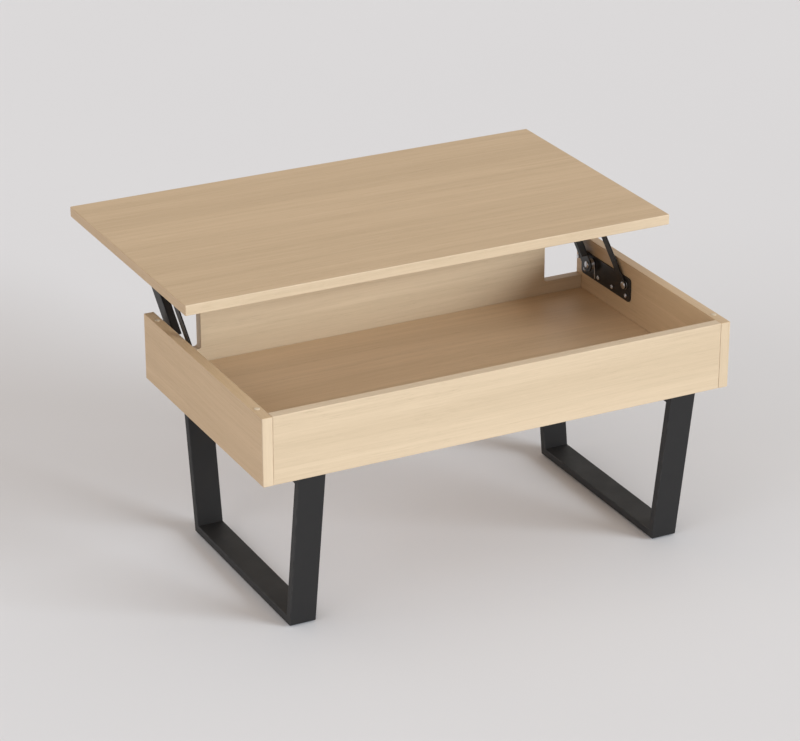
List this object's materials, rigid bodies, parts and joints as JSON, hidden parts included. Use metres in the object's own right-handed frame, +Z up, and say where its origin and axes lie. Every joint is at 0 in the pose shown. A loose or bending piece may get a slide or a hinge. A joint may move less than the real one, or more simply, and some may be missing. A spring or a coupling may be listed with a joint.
{
  "type": "lift top coffee table",
  "caption": "Low wooden coffee table whose top rises level and moves towards the sitter over an open storage box, on two trapezoid steel leg frames.",
  "frame": {"origin": "on the floor, at the centre of the bounding box of the table with its top raised", "axes": "+X along the length, +Y towards the person seated, +Z up"},
  "size_m": [0.95, 0.7794, 0.5355],
  "materials": {
    "oak_veneer": "matt lacquered pale oak veneer with fine straight grain",
    "black_steel": "satin black powder coat",
    "zinc_steel": "bright zinc plate",
    "rubber": "matt",
    "dowel_wood": "plain beech"
  },
  "bodies": {
    "table": {"back_panel": "oak_veneer", "front_panel": "oak_veneer", "left_end_panel": "oak_veneer", "right_end_panel": "oak_veneer", "bottom_panel": "oak_veneer", "left_top_tube": "black_steel", "left_foot_tube": "black_steel", "left_back_upright": "black_steel", "left_front_upright": "black_steel", "right_top_tube": "black_steel", "right_foot_tube": "black_steel", "right_back_upright": "black_steel", "right_front_upright": "black_steel", "leg_screws": "zinc_steel", "floor_glides": "rubber", "panel_dowels": "dowel_wood", "bottom_dowels": "dowel_wood", "rim_bumpers": "rubber", "left_base_bracket": "black_steel", "right_base_bracket": "black_steel", "left_base_pins": "zinc_steel", "right_base_pins": "zinc_steel", "left_stop_pin": "zinc_steel", "right_stop_pin": "zinc_steel", "left_spacer": "zinc_steel", "right_spacer": "zinc_steel", "left_spring": "zinc_steel", "right_spring": "zinc_steel", "base_washers": "zinc_steel", "left_bracket_screws": "zinc_steel", "right_bracket_screws": "zinc_steel"},
    "left_main_arm": {"left_main_arm": "black_steel"},
    "right_main_arm": {"right_main_arm": "black_steel"},
    "left_guide_arm": {"left_guide_arm": "black_steel"},
    "right_guide_arm": {"right_guide_arm": "black_steel"},
    "top": {"top_panel": "oak_veneer", "left_top_bracket": "black_steel", "right_top_bracket": "black_steel", "left_top_pins": "zinc_steel", "right_top_pins": "zinc_steel", "top_washers": "zinc_steel", "top_screws": "zinc_steel"}
  },
  "joints": [
    {"name": "lift", "type": "hinge", "parent": "table", "child": "left_main_arm", "pos_m": [-0.4175, 0.04734, 0.382], "axis": [1, 0, 0], "range_deg": [0, 132]},
    {"name": "top_level", "type": "hinge", "parent": "left_main_arm", "child": "top", "pos_m": [-0.4175, 0.15924, 0.48635], "axis": [1, 0, 0], "range_deg": [-132, 0]},
    {"name": "right_main_swing", "type": "hinge", "parent": "table", "child": "right_main_arm", "pos_m": [0.4175, 0.04734, 0.382], "axis": [1, 0, 0], "range_deg": [0, 132]},
    {"name": "left_guide_swing", "type": "hinge", "parent": "table", "child": "left_guide_arm", "pos_m": [-0.4255, -0.07066, 0.382], "axis": [1, 0, 0], "range_deg": [0, 132]},
    {"name": "right_guide_swing", "type": "hinge", "parent": "table", "child": "right_guide_arm", "pos_m": [0.4255, -0.07066, 0.382], "axis": [1, 0, 0], "range_deg": [0, 132]}
  ],
  "couplings": [
    {"joint": "top_level", "follows": "lift", "ratio": -1},
    {"joint": "right_main_swing", "follows": "lift", "ratio": 1},
    {"joint": "left_guide_swing", "follows": "lift", "ratio": 1},
    {"joint": "right_guide_swing", "follows": "lift", "ratio": 1}
  ]
}
